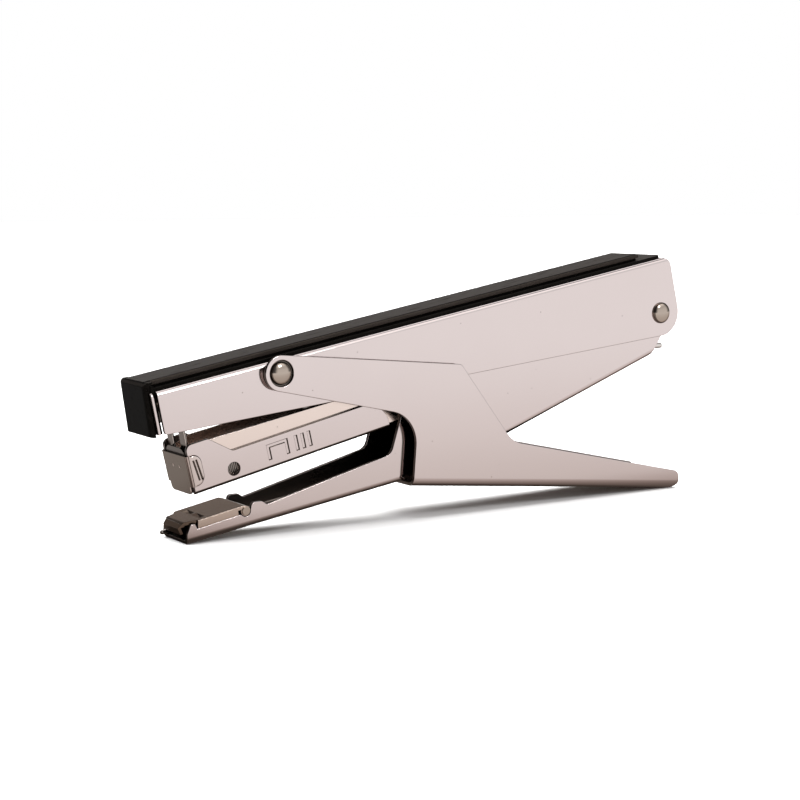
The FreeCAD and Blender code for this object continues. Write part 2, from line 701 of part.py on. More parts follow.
def jaw_spring_rivet():
    place, slope = jaw_rivet_place()
    over = anvil_sheet + leaf_sheet
    shank = Part.makeCylinder(1.5, over, Vector(0, 0, 0), Vector(0, 0, 1))
    head = Part.makeCylinder(2.6, 0.8, Vector(0, 0, over), Vector(0, 0, 1))
    return along(shank.fuse(head).removeSplitter(), place, slope)


# ------------------------------------------------------------------ magazine
head_front = -slot_half - liner_sheet - head_sheet      # outer face of the head plate, from the slot


def magazine_housing():
    """Short outer U around the front of the magazine, tall at the head."""
    x0 = -reach - slot_half - liner_sheet
    xe = -reach + housing_length
    xh = -reach + head_length
    outline = [(x0, -housing_drop), (xe, -housing_drop, 0.8), (xe, housing_rise, 6.6),
               (xh + head_slope, housing_rise, 1.5), (xh, head_rise, 1.2), (x0, head_rise, 1.6)]
    body = prism(outline, -housing_out, housing_out)
    body = body.common(trough((0, -housing_drop), (1, -housing_drop), housing_out, 1.0))
    body = body.cut(box(-FAR, FAR, -channel_out, channel_out, web_top, FAR))
    mouth = box(x0 - 1, -reach + slot_half + 0.3, -channel_in, channel_in, -FAR, FAR)
    body = body.cut(mouth)
    eye = cyl(-reach + inspection_at, inspection_height, -FAR, FAR, inspection_r)
    body = body.cut(eye)
    return in_magazine(body.cut(size_mark()))


def size_mark():
    """Sunk pictogram on the near side: a staple and three gauge ticks."""
    depth = 0.35
    y0, y1 = -housing_out - 1, -housing_out + depth
    x = -reach + 20.0
    low, high = -3.6, 0.2
    bars = [box(x, x + 0.8, y0, y1, low, high), box(x + 5.2, x + 6.0, y0, y1, low, high),
            box(x, x + 6.0, y0, y1, high - 0.8, high)]
    bars += [box(x + 8.0 + i * 1.9, x + 8.8 + i * 1.9, y0, y1, low, high) for i in range(3)]
    mark = bars[0]
    for bar in bars[1:]:
        mark = mark.fuse(bar)
    return mark


def staple_channel():
    """Long thin U that holds the staples, with round ears on the rear pivot."""
    x0 = -reach + slot_half + 0.05
    top_front = channel_top(head_length)
    outline = [(x0, web_top), (ear_r, web_top, 1.5), (ear_r, channel_rise_rear, 1.0),
               (-reach + head_length, top_front, 1.0), (x0, top_front - 1.4, 0.6)]
    body = prism(outline, -channel_out, channel_out)
    body = body.fuse(cyl(0, 0, -channel_out, channel_out, ear_r))
    body = body.cut(box(-FAR, FAR, -channel_in, channel_in, floor, FAR))
    body = body.cut(cyl(0, 0, -channel_out, channel_out, rivet_r))
    eye = cyl(-reach + inspection_at, inspection_height, -FAR, FAR, inspection_r + 0.15)
    notch = box(plug_rear + 0.2, FAR, -hook_r - notch_gap, hook_r + notch_gap, -FAR, floor + 0.1)
    return in_magazine(solids(body.cut(eye).cut(notch)))


core_slot_half = 1.2
core_slot_from = 30.0           # slot in the core's roof starts this far behind the staple slot


def core_rail():
    """Inverted U that the staples ride on; the guide rod runs inside it."""
    x0 = -reach + slot_half + 0.05
    x1 = plug_front - 0.4
    body = box(x0, x1, -core_out, core_out, floor, core_top)
    top_edges = [e for e in body.Edges if e.BoundBox.XLength > FAR / 4 and e.BoundBox.ZMin > core_top - 0.01]
    body = body.makeFillet(0.4, top_edges)
    inner = core_out - core_sheet
    body = body.cut(box(x0 - 1, x1 + 1, -inner, inner, floor - 1, core_top - core_sheet))
    slot = box(-reach + core_slot_from, x1 + 1, -core_slot_half, core_slot_half, core_top - core_sheet - 0.1, FAR)
    return in_magazine(body.cut(slot))


def staple_strip():
    """The staples that are left, glued into one strip."""
    x0 = -reach + slot_half + 0.02
    x1 = x0 + strip_length
    body = box(x0, x1, -staple_half, staple_half, legs_bottom, crown_top)
    edges = [e for e in body.Edges if e.BoundBox.XLength > strip_length / 2 and e.BoundBox.ZMin > crown_top - 0.01]
    body = body.makeFillet(0.45, edges)
    inner = staple_half - wire
    return in_magazine(body.cut(box(x0 - 1, x1 + 1, -inner, inner, legs_bottom - 1, core_top)))


def head_plate():
    """Front plate of the magazine, with a tab round each side and a tongue down to the slot."""
    x0 = -reach + head_front
    tongue_half = head_out - 1.9
    front_face = box(x0, x0 + head_sheet, -head_out, head_out, -head_drop, head_up)
    corners = [e for e in front_face.Edges if e.BoundBox.XLength > head_sheet / 2]
    front_face = front_face.makeFillet(0.7, corners)
    tongue = box(x0, x0 + head_sheet, -tongue_half, tongue_half, -housing_drop, 0)
    low = [e for e in tongue.Edges if e.BoundBox.XLength > head_sheet / 2 and e.BoundBox.ZMax < -1]
    tongue = tongue.makeFillet(1.2, low)
    tab = prism([(x0, -head_drop), (x0 + tab_length, -head_drop, 2.4), (x0 + tab_length, head_up, 2.2),
                 (x0, head_up)], housing_out, head_out)
    body = front_face.fuse([tongue, both(tab)]).removeSplitter()
    bends = [e for e in body.Edges if e.BoundBox.ZLength > 6 and abs(abs(e.BoundBox.YMin) - head_out) < 0.01
             and e.BoundBox.XMax < x0 + 0.01]
    body = body.makeFillet(1.2, bends)
    for y in (-2.2, 1.2):
        body = body.cut(Part.makeSphere(0.8, Vector(x0 - 0.65, y, 0.9)))
    for start in (1.35, 2.15):
        groove = prism([(x0 + start, head_up - 1.3), (x0 + start + 0.4, head_up - 1.3),
                        (x0 + start + 1.0, 1.4 - head_drop), (x0 + start + 0.6, 1.4 - head_drop)],
                       head_out - 0.2, head_out + 1)
        body = body.cut(both(groove))
    return in_magazine(solids(body))


def head_liner():
    """Hard strip behind the head plate that the driver slides on."""
    x0 = -reach - slot_half - liner_sheet
    body = box(x0, x0 + liner_sheet, -channel_in + 0.1, channel_in - 0.1, -housing_drop + 0.3, 5.6)
    corners = [e for e in body.Edges if e.BoundBox.XLength > liner_sheet / 2 and e.BoundBox.ZMin > 0]
    return in_magazine(body.makeFillet(2.4, corners))


def rear_rivets():
    """Two studs staked flush inside the channel's ears, so that the magazine stays open for loading."""
    seat = arm_out + seat_gap
    stud = cyl(0, 0, channel_in, seat, rivet_r).fuse(dome(rear_head_r, rear_head_height, seat))
    return in_magazine(both(stud.removeSplitter()))


# ------------------------------------------------------------------ loader and follower
def guide_rod():
    x0 = -reach + rod_from
    rod = Part.makeCylinder(rod_r, plug_front + 5.0 - x0, Vector(x0, 0, rod_height), Vector(1, 0, 0))
    return in_magazine(rod)


def rod_stop():
    """Collar on the front end of the rod that keeps the follower on it."""
    x0 = -reach + rod_from
    ring = Part.makeCylinder(spring_r - 0.3, 1.4, Vector(x0 + 0.6, 0, rod_height), Vector(1, 0, 0))
    bore = Part.makeCylinder(rod_r, 4, Vector(x0 - 1, 0, rod_height), Vector(1, 0, 0))
    return in_magazine(ring.cut(bore))


def rear_plug():
    """Block that closes the magazine's rear end and backs up the spring."""
    body = box(plug_front, plug_rear, -plug_half, plug_half, floor + 0.2, crown_top + 0.3)
    uprights = [e for e in body.Edges if e.BoundBox.ZLength > 1]
    body = body.makeFillet(0.6, uprights)
    body = body.cut(Part.makeCylinder(rod_r, 5.0, Vector(plug_front, 0, rod_height), Vector(1, 0, 0)))
    bore = Part.makeCylinder(hook_r, 5.0, Vector(plug_rear - 5.0, 0, -0.4), Vector(1, 0, 0))
    return in_magazine(body.cut(bore))


def finger_hook():
    """Bent wire that pulls the loader out: out of the plug, down behind the anvil arm, and back."""
    angle = math.radians(tilt)
    leg_x = rear[0] + 3.8
    mouth = (rear[0] + plug_rear * math.cos(angle) + 0.4 * math.sin(angle),
             rear[1] + plug_rear * math.sin(angle) - 0.4 * math.cos(angle))
    inner = (mouth[0] - 5.0 * math.cos(angle), mouth[1] - 5.0 * math.sin(angle))
    top = (leg_x, mouth[1] + (leg_x - mouth[0]) * math.tan(angle))
    low = (leg_x, heel[1] + 2.1)
    end_x = rear[0] + hook_overhang
    pieces = [wire_run(inner, top), Part.makeSphere(hook_r, Vector(top[0], 0, top[1])), wire_run(top, low),
              Part.makeSphere(hook_r, Vector(low[0], 0, low[1])),
              wire_run(low, (end_x - hook_r, low[1])),
              Part.makeSphere(hook_r, Vector(end_x - hook_r, 0, low[1]))]
    return solids(pieces[0].fuse(pieces[1:]))


def wire_run(a, b):
    direction = Vector(b[0] - a[0], 0, b[1] - a[1])
    return Part.makeCylinder(hook_r, direction.Length, Vector(a[0], 0, a[1]), direction)


def follower():
    """Saddle behind the staples; its stem slides on the rod inside the core."""
    x0 = -reach + slot_half + strip_length + 0.12
    x1 = x0 + follower_length
    outer = staple_half - 0.1
    body = box(x0, x1, -outer, outer, legs_bottom + 0.1, core_top + 0.7)
    inner = core_out + 0.12
    body = body.cut(box(x0 - 1, x1 + 1, -inner, inner, -FAR, core_top + 0.12))
    stem = box(x0 + 2, x1 - 2, -core_slot_half + 0.2, core_slot_half - 0.2, rod_height, core_top + 0.4)
    slider = box(x0 + 2, x1 - 2, -core_out + core_sheet + 0.35, core_out - core_sheet - 0.35,
                 floor + 0.5, core_top - core_sheet - 0.25)
    body = body.fuse([stem, slider])
    bore = Part.makeCylinder(rod_r + 0.08, follower_length, Vector(x0, 0, rod_height), Vector(1, 0, 0))
    return in_magazine(solids(body.cut(bore)))


def follower_spring():
    """Outer shape of the coil between the follower and the plug."""
    x0 = -reach + slot_half + strip_length + 0.12 + follower_length - 2 + 0.05
    length = plug_front - 0.05 - x0
    tube = Part.makeCylinder(spring_r, length, Vector(x0, 0, rod_height), Vector(1, 0, 0))
    hole = Part.makeCylinder(spring_r - spring_wire, length, Vector(x0, 0, rod_height), Vector(1, 0, 0))
    return in_magazine(tube.cut(hole))


# ------------------------------------------------------------------ write every piece
NODES = {
    "upper_arm": upper_arm, "top_cover": top_cover, "nose_plate": nose_plate, "front_rivet": front_rivet,
    "rear_washers": rear_washers, "driver_blade": driver_blade, "driver_clamp": driver_clamp,
    "driver_rivets": driver_rivets, "magazine_spring": magazine_spring,
    "magazine_spring_rivet": magazine_spring_rivet,
    "lever": lever,
    "anvil_arm": anvil_arm, "anvil_plate": anvil_plate, "anvil_pin": anvil_pin,
    "anvil_lock_spring": anvil_lock_spring, "jaw_spring": jaw_spring, "jaw_spring_rivet": jaw_spring_rivet,
    "magazine_housing": magazine_housing, "staple_channel": staple_channel, "core_rail": core_rail,
    "staple_strip": staple_strip, "head_plate": head_plate, "head_liner": head_liner,
    "rear_rivets": rear_rivets,
    "guide_rod": guide_rod, "rod_stop": rod_stop, "rear_plug": rear_plug, "finger_hook": finger_hook,
    "follower": follower, "follower_spring": follower_spring,
}

for name, make in NODES.items():
    shape = make()
    shape.exportStep("parts/" + name + ".step")
    size = shape.optimalBoundingBox(False)
    print(f"{name:24s} solids {len(shape.Solids)} valid {shape.isValid()} volume {shape.Volume:9.1f}"
          f"  x {size.XMin:7.2f} {size.XMax:7.2f}  y {size.YMin:6.2f} {size.YMax:6.2f}"
          f"  z {size.ZMin:6.2f} {size.ZMax:6.2f}")
print("rear pivot", rear, "front pivot", front, "tilt", round(tilt, 3), "reach", round(reach, 3))
print("lever web", lip, lever_bottom[1])
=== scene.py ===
import bmesh
import bpy
import json
import math
from mathutils import Matrix, Vector
from mathutils.bvhtree import BVHTree

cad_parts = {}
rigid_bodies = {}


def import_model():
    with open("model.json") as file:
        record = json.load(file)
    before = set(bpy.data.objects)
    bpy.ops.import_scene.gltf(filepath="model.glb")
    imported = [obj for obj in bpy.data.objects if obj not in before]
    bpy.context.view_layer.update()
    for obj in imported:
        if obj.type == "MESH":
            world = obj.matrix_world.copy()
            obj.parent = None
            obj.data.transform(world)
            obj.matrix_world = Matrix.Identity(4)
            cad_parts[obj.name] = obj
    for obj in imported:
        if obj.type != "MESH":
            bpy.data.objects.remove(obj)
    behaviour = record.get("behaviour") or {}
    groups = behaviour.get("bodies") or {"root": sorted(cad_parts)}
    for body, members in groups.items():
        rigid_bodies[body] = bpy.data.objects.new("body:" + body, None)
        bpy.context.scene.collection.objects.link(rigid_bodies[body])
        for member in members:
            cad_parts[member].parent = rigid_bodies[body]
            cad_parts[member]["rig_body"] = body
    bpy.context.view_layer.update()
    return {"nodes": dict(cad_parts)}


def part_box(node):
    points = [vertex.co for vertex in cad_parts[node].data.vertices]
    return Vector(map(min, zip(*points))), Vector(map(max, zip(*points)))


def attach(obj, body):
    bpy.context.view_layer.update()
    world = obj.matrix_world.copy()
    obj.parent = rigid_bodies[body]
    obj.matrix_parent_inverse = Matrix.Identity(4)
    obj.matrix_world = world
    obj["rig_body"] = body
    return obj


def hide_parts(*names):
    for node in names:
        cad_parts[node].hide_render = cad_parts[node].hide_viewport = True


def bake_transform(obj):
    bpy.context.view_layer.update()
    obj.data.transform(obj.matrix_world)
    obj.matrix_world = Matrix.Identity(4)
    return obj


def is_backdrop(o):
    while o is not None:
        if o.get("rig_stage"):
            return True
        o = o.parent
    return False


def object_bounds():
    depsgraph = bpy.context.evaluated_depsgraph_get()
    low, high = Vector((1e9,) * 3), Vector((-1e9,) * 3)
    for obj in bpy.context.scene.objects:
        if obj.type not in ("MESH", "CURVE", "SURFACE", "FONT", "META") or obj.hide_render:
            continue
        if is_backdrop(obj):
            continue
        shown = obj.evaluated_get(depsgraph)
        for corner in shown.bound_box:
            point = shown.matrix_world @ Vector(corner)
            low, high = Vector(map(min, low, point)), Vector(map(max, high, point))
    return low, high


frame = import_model()


# ---- Upper arm -----------------------------------------------------------------------------------
# A deep inverted U of 1 mm steel sheet, pressed, polished and chrome plated. The press leaves the cut
# edges a little rounded; the plating keeps faint polishing lines and small pits. Inside the U it is rougher
# and painted dark, a painted shade, and the cut edges are painted dark, a painted shade along the outlines.
MM = 0.001


def plating_group():
    """Faint polishing lines along the object, smudges and pits for every plated or bright metal."""
    group = bpy.data.node_groups.new("plating", "ShaderNodeTree")
    face = group.interface
    face.new_socket("Position", in_out="INPUT", socket_type="NodeSocketVector")
    face.new_socket("Color", in_out="INPUT", socket_type="NodeSocketColor")
    face.new_socket("Roughness", in_out="INPUT", socket_type="NodeSocketFloat")
    face.new_socket("Lines", in_out="INPUT", socket_type="NodeSocketFloat")
    face.new_socket("Pits", in_out="INPUT", socket_type="NodeSocketFloat")
    face.new_socket("Color", in_out="OUTPUT", socket_type="NodeSocketColor")
    face.new_socket("Roughness", in_out="OUTPUT", socket_type="NodeSocketFloat")
    face.new_socket("Height", in_out="OUTPUT", socket_type="NodeSocketFloat")
    nodes, link = group.nodes, group.links.new
    given = nodes.new("NodeGroupInput")
    result = nodes.new("NodeGroupOutput")

    stretched = nodes.new("ShaderNodeMapping")
    stretched.inputs["Scale"].default_value = (90, 2600, 2600)
    link(given.outputs["Position"], stretched.inputs["Vector"])
    lines = nodes.new("ShaderNodeTexNoise")
    lines.inputs["Scale"].default_value = 1.0
    lines.inputs["Detail"].default_value = 3.0
    link(stretched.outputs["Vector"], lines.inputs["Vector"])

    smudges = nodes.new("ShaderNodeTexNoise")
    smudges.inputs["Scale"].default_value = 55.0
    smudges.inputs["Detail"].default_value = 4.0
    link(given.outputs["Position"], smudges.inputs["Vector"])

    specks = nodes.new("ShaderNodeTexVoronoi")
    specks.inputs["Scale"].default_value = 210.0
    link(given.outputs["Position"], specks.inputs["Vector"])
    pit = nodes.new("ShaderNodeMapRange")
    pit.inputs["From Min"].default_value = 0.045
    pit.inputs["From Max"].default_value = 0.02
    link(specks.outputs["Distance"], pit.inputs["Value"])
    pit_depth = nodes.new("ShaderNodeMath")
    pit_depth.operation = "MULTIPLY"
    link(pit.outputs["Result"], pit_depth.inputs[0])
    link(given.outputs["Pits"], pit_depth.inputs[1])

    centred = nodes.new("ShaderNodeMath")
    centred.operation = "SUBTRACT"
    centred.inputs[1].default_value = 0.5
    link(lines.outputs["Fac"], centred.inputs[0])
    line_height = nodes.new("ShaderNodeMath")
    line_height.operation = "MULTIPLY"
    link(centred.outputs["Value"], line_height.inputs[0])
    link(given.outputs["Lines"], line_height.inputs[1])

    smudge_dull = nodes.new("ShaderNodeMapRange")
    smudge_dull.inputs["From Min"].default_value = 0.42
    smudge_dull.inputs["From Max"].default_value = 0.7
    smudge_dull.inputs["To Max"].default_value = 0.07
    link(smudges.outputs["Fac"], smudge_dull.inputs["Value"])
    dull = nodes.new("ShaderNodeMath")
    dull.operation = "ADD"
    link(given.outputs["Roughness"], dull.inputs[0])
    link(smudge_dull.outputs["Result"], dull.inputs[1])
    duller = nodes.new("ShaderNodeMath")
    duller.operation = "MULTIPLY_ADD"
    duller.inputs[1].default_value = 0.12
    link(line_height.outputs["Value"], duller.inputs[0])
    link(dull.outputs["Value"], duller.inputs[2])
    link(duller.outputs["Value"], result.inputs["Roughness"])

    stained = nodes.new("ShaderNodeMix")
    stained.data_type = "RGBA"
    stained.blend_type = "MULTIPLY"
    stained.inputs["B"].default_value = (0.35, 0.31, 0.28, 1)
    link(pit_depth.outputs["Value"], stained.inputs["Factor"])
    link(given.outputs["Color"], stained.inputs["A"])
    link(stained.outputs["Result"], result.inputs["Color"])

    height = nodes.new("ShaderNodeMath")
    height.operation = "SUBTRACT"
    link(line_height.outputs["Value"], height.inputs[0])
    link(pit_depth.outputs["Value"], height.inputs[1])
    link(height.outputs["Value"], result.inputs["Height"])
    return group


plating = plating_group()


def bright_metal(name, color, roughness, lines=0.5, pits=0.6, relief=0.0025):
    """Metal whose colour, gloss and fine relief come from the plating group."""
    material = bpy.data.materials.new(name)
    material.use_nodes = True
    nodes, link = material.node_tree.nodes, material.node_tree.links.new
    shader = nodes["Principled BSDF"]
    shader.inputs["Metallic"].default_value = 1.0
    place = nodes.new("ShaderNodeTexCoord")
    finish = nodes.new("ShaderNodeGroup")
    finish.node_tree = plating
    finish.inputs["Color"].default_value = (*color, 1)
    finish.inputs["Roughness"].default_value = roughness
    finish.inputs["Lines"].default_value = lines
    finish.inputs["Pits"].default_value = pits
    link(place.outputs["Object"], finish.inputs["Position"])
    link(finish.outputs["Color"], shader.inputs["Base Color"])
    link(finish.outputs["Roughness"], shader.inputs["Roughness"])
    bump = nodes.new("ShaderNodeBump")
    bump.inputs["Strength"].default_value = 0.35
    bump.inputs["Distance"].default_value = relief * MM
    link(finish.outputs["Height"], bump.inputs["Height"])
    link(bump.outputs["Normal"], shader.inputs["Normal"])
    return material


def finished(bm, name, body, slot_name, *materials, replaces=()):
    """The mesh as a smooth object that rides on its body; flat faces keep a flat look."""
    for face in bm.faces:
        face.smooth = True
    mesh = bpy.data.meshes.new(name)
    bm.to_mesh(mesh)
    bm.free()
    for material in materials:
        mesh.materials.append(material)
    piece = bpy.data.objects.new(name, mesh)
    bpy.context.scene.collection.objects.link(piece)
    even = piece.modifiers.new("even_normals", "WEIGHTED_NORMAL")
    even.weight = 80
    even.keep_sharp = True
    if body:
        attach(piece, body)
    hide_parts(*replaces)
    return piece


def copied(node):
    """The node's shape with its triangles merged and its flat faces in one piece."""
    weld = 0.002 * MM
    flat = math.radians(0.4)
    bm = bmesh.new()
    bm.from_mesh(frame["nodes"][node].data)
    bmesh.ops.remove_doubles(bm, verts=bm.verts, dist=weld)
    bmesh.ops.dissolve_limit(bm, angle_limit=flat, verts=bm.verts, edges=bm.edges)
    for face in bm.faces:
        face.material_index = 0
    return bm


def soften(bm, edge, angle=30):
    """Rounds every edge that turns more than the angle."""
    corners = [e for e in bm.edges if e.is_manifold and e.calc_face_angle() > math.radians(angle)]
    bmesh.ops.bevel(bm, geom=corners, affect="EDGES", offset=edge * MM, segments=2, profile=0.5,
                    material=-1, clamp_overlap=False)


def sheet_faces(bm, sheet):
    """Second material, a painted shade, for faces with a wall of the piece on either side; third, a painted
    dark shade, for the sheet's edge.
    """
    tree = BVHTree.FromBMesh(bm)
    across = Vector((0, 1, 0))
    skin = 0.01 * MM
    clear = 0.4 * MM
    thickest = 1.06 * sheet * MM
    for face in bm.faces:
        middle = face.calc_center_median()
        beside = middle + face.normal * clear
        through = tree.ray_cast(middle - face.normal * skin, -face.normal)[3]
        if through is None or through > thickest:
            face.material_index = 2
        elif tree.ray_cast(beside, across)[0] and tree.ray_cast(beside, -across)[0]:
            face.material_index = 1


chrome = bright_metal("chrome", (0.76, 0.665, 0.65), 0.09)
# The inside colour is a painted shade; the dark edge colour is a painted shade along the outlines.
chrome_painted_shade = bright_metal("chrome_painted_shade", (0.12, 0.102, 0.091), 0.26, pits=0.2)
edge_painted_shade = bright_metal("edge_painted_shade", (0.075, 0.058, 0.048), 0.3, lines=0.9)


def pressed_sheet(node, body, sheet=1.0, edge=0.2):
    """A plated sheet piece: bright outside, painted shade inside, and painted dark shade along its cut
    edges.
    """
    bm = copied(node)
    soften(bm, edge)
    sheet_faces(bm, sheet)
    return finished(bm, node + "_sheet", body, "chrome_plate", chrome, chrome_painted_shade, edge_painted_shade,
                    replaces=[node])


pressed_sheet("upper_arm", "upper_arm")


# ---- Nose plate ----------------------------------------------------------------------------------
# A plain strip of the same sheet, held upright between the plastic nose and the arm's front edges.
bm = copied("nose_plate")
soften(bm, 0.1)
finished(bm, "nose_plate_strip", "upper_arm", "chrome_plate", chrome, replaces=["nose_plate"])


# ---- Top cover -----------------------------------------------------------------------------------
# The black grip, one ABS moulding clipped on the arm's top: a thin base, a ridge for the palm on a
# narrower neck, and the nose, matt in front. The mould leaves a fine grain. The ridge's sides are
# painted a lighter grey, a painted sheen.
def moulding_group():
    """Fine grain of a mould, fine scuffs, and grey dust where they gather."""
    group = bpy.data.node_groups.new("moulding", "ShaderNodeTree")
    face = group.interface
    face.new_socket("Position", in_out="INPUT", socket_type="NodeSocketVector")
    face.new_socket("Color", in_out="INPUT", socket_type="NodeSocketColor")
    face.new_socket("Dust", in_out="INPUT", socket_type="NodeSocketColor")
    face.new_socket("Roughness", in_out="INPUT", socket_type="NodeSocketFloat")
    face.new_socket("Color", in_out="OUTPUT", socket_type="NodeSocketColor")
    face.new_socket("Roughness", in_out="OUTPUT", socket_type="NodeSocketFloat")
    face.new_socket("Height", in_out="OUTPUT", socket_type="NodeSocketFloat")
    nodes, link = group.nodes, group.links.new
    given = nodes.new("NodeGroupInput")
    result = nodes.new("NodeGroupOutput")

    grain = nodes.new("ShaderNodeTexNoise")
    grain.inputs["Scale"].default_value = 2600.0
    grain.inputs["Detail"].default_value = 2.0
    link(given.outputs["Position"], grain.inputs["Vector"])
    along = nodes.new("ShaderNodeMapping")
    along.inputs["Scale"].default_value = (40, 900, 900)
    link(given.outputs["Position"], along.inputs["Vector"])
    scuffs = nodes.new("ShaderNodeTexNoise")
    scuffs.inputs["Scale"].default_value = 1.0
    scuffs.inputs["Detail"].default_value = 4.0
    link(along.outputs["Vector"], scuffs.inputs["Vector"])
    rubbed = nodes.new("ShaderNodeMapRange")
    rubbed.inputs["From Min"].default_value = 0.56
    rubbed.inputs["From Max"].default_value = 0.75
    link(scuffs.outputs["Fac"], rubbed.inputs["Value"])

    dusted = nodes.new("ShaderNodeMix")
    dusted.data_type = "RGBA"
    link(rubbed.outputs["Result"], dusted.inputs["Factor"])
    link(given.outputs["Color"], dusted.inputs["A"])
    link(given.outputs["Dust"], dusted.inputs["B"])
    link(dusted.outputs["Result"], result.inputs["Color"])
    rough = nodes.new("ShaderNodeMath")
    rough.operation = "MULTIPLY_ADD"
    rough.inputs[1].default_value = 0.16
    link(rubbed.outputs["Result"], rough.inputs[0])
    link(given.outputs["Roughness"], rough.inputs[2])
    link(rough.outputs["Value"], result.inputs["Roughness"])
    link(grain.outputs["Fac"], result.inputs["Height"])
    return group


moulding = moulding_group()


def moulded(name, color, dust, roughness, gloss=0.05):
    """Black plastic with the mould's grain."""
    material = bpy.data.materials.new(name)
    material.use_nodes = True
    nodes, link = material.node_tree.nodes, material.node_tree.links.new
    shader = nodes["Principled BSDF"]
    shader.inputs["Specular IOR Level"].default_value = gloss
    shader.inputs["Specular Tint"].default_value = (1.0, 0.82, 0.72, 1)
    place = nodes.new("ShaderNodeTexCoord")
    finish = nodes.new("ShaderNodeGroup")
    finish.node_tree = moulding
    finish.inputs["Color"].default_value = (*color, 1)
    finish.inputs["Dust"].default_value = (*dust, 1)
    finish.inputs["Roughness"].default_value = roughness
    link(place.outputs["Object"], finish.inputs["Position"])
    link(finish.outputs["Color"], shader.inputs["Base Color"])
    link(finish.outputs["Roughness"], shader.inputs["Roughness"])
    bump = nodes.new("ShaderNodeBump")
    bump.inputs["Strength"].default_value = 0.5
    bump.inputs["Distance"].default_value = 0.02 * MM
    link(finish.outputs["Height"], bump.inputs["Height"])
    link(bump.outputs["Normal"], shader.inputs["Normal"])
    return material


black = moulded("black_abs", (0.0022, 0.002, 0.0018), (0.0055, 0.0048, 0.0043), 0.3)
# Lighter grey for the ridge's sides: a painted sheen.
sheen_painted_black = moulded("sheen_painted_abs", (0.026, 0.021, 0.018), (0.040, 0.033, 0.029), 0.42)
matt_black = moulded("matt_abs", (0.0022, 0.002, 0.0018), (0.005, 0.0044, 0.004), 0.5, gloss=0.02)
bm = copied("top_cover")
soften(bm, 0.12, angle=40)
nose_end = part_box("top_cover")[0].x + 4 * MM
ridge_foot = 1.25 * MM
arm_front_x = -70.1 * MM
arm_front_top = 39.75 * MM
arm_slope = (65.8 - 39.75) / 145.3
# Ridge sides take the painted sheen; the nose front takes the matt black.
for face in bm.faces:
    middle = face.calc_center_median()
    over_arm = middle.z - (arm_front_top + (middle.x - arm_front_x) * arm_slope)
    if abs(face.normal.y) > 0.8 and over_arm > ridge_foot and middle.x > nose_end:
        face.material_index = 1
    elif face.normal.x < -0.9 and middle.x < nose_end:
        face.material_index = 2
finished(bm, "top_cover_moulding", "upper_arm", "black_plastic", black, sheen_painted_black, matt_black,
         replaces=["top_cover"])


# ---- Front rivet ---------------------------------------------------------------------------------
# A polished steel rivet through lever and arm, with a domed head in a dimple on either side. It is
# turned from bar, so it is a profile spun round its axis.
def rim(radius, height, at, steps=9):
    """Profile of a domed head: (radius, distance along the axis) from its rim to its pole."""
    turns = [math.radians(90) * i / steps for i in range(steps + 1)]
    return [(radius * math.cos(turn), at + height * math.sin(turn)) for turn in turns]


def turned(profile, centre, axis=(0, 1, 0), steps=48):
    """Spins a profile from pole to pole round an axis; radii go along the first square direction."""
    axis = Vector(axis).normalized()
    out = axis.orthogonal().normalized()
    bm = bmesh.new()
    points = [bm.verts.new(centre + (out * r + axis * a) * MM) for r, a in profile]
    for first, second in zip(points, points[1:]):
        bm.edges.new((first, second))
    bmesh.ops.spin(bm, geom=bm.verts[:] + bm.edges[:], cent=centre, axis=axis, angle=math.tau,
                   steps=steps, use_merge=True)
    bmesh.ops.remove_doubles(bm, verts=bm.verts, dist=0.001 * MM)
    bmesh.ops.recalc_face_normals(bm, faces=bm.faces)
    return bm


def paint_rim_reflection(bm):
    """Second material for the steep rims and shanks: a painted dark reflection round each dome."""
    level = 0.8
    for face in bm.faces:
        if abs(face.normal.y) < level:
            face.material_index = 1
    return bm


def middle_of(node):
    """The middle of the node's box."""
    low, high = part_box(node)
    return (low + high) / 2


polished = bright_metal("polished_steel", (0.49, 0.41, 0.35), 0.1, lines=0.1, pits=0.3, relief=0.001)
# Dark steel for the rivets' rims: a painted dark reflection.
painted_rim_reflection = bright_metal("painted_rim_reflection_steel", (0.17, 0.135, 0.112), 0.12, lines=0.2, pits=0.5)
shank_r = 2.0
front_seat = 9.7
head = rim(2.9, 1.5, front_seat)
shank = [(shank_r, -front_seat), (shank_r, front_seat)]
profile = [(r, -a) for r, a in reversed(head)] + shank + head
rivet = paint_rim_reflection(turned(profile, middle_of("front_rivet")))
finished(rivet, "front_rivet_steel", "upper_arm", "rivet_steel", polished, painted_rim_reflection,
         replaces=["front_rivet"])


# ---- Rear washers --------------------------------------------------------------------------------
# Two zinc plated steel rings that keep the anvil arm in the middle of the upper arm.
zinc_plate = bright_metal("zinc_plate", (0.60, 0.555, 0.53), 0.28, lines=0.7, pits=0.8, relief=0.004)


def solid_piece(node, name, slot_name, *materials, edge=0.08, angle=30):
    """A solid piece with its edges broken, riding where the frame has it."""
    bm = copied(node)
    soften(bm, edge, angle)
    return finished(bm, name, frame["nodes"][node]["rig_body"], slot_name, *materials, replaces=[node])


solid_piece("rear_washers", "rear_washer_rings", "zinc_steel", zinc_plate)


# ---- Driver --------------------------------------------------------------------------------------
# The blade that pushes a staple out: hardened strip with ground edges, forked above its tip, riveted
# between two blocks that are welded under the arm's top.
hard = bright_metal("hard_steel", (0.15, 0.125, 0.11), 0.2, lines=1.0, relief=0.004)
ground_edge_highlight = bright_metal("ground_edge_highlight", (0.80, 0.73, 0.69), 0.15, lines=0.8)
square = 0.93
bm = copied("driver_blade")
soften(bm, 0.12)
